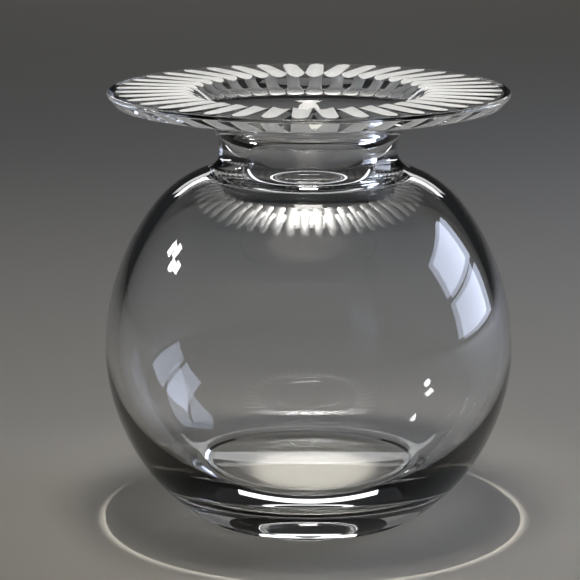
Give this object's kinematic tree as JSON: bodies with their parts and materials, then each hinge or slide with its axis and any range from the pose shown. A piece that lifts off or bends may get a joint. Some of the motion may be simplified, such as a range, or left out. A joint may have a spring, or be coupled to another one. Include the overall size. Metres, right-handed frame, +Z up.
{
  "type": "rose bowl vase",
  "caption": "Globe-shaped clear cut crystal vase on a small polished foot, with a short waisted neck and a wide flat rim ringed with matt radial flutes",
  "frame": {"origin": "centre of the foot's underside, on the plane that the vase stands on", "axes": "+Z up along the vase's axis of turning; X and Y lie in the plane that it stands on, with a flute on +X"},
  "size_m": [0.154, 0.154, 0.162],
  "materials": {
    "crystal": "colourless lead crystal, fire polished",
    "cut_crystal": "colourless lead crystal, polished, with matt wheel-cut flutes on the top face"
  },
  "bodies": {
    "root": {"foot": "crystal", "base": "crystal", "globe": "crystal", "shoulder": "crystal", "neck": "crystal", "rim": "cut_crystal"}
  },
  "joints": []
}
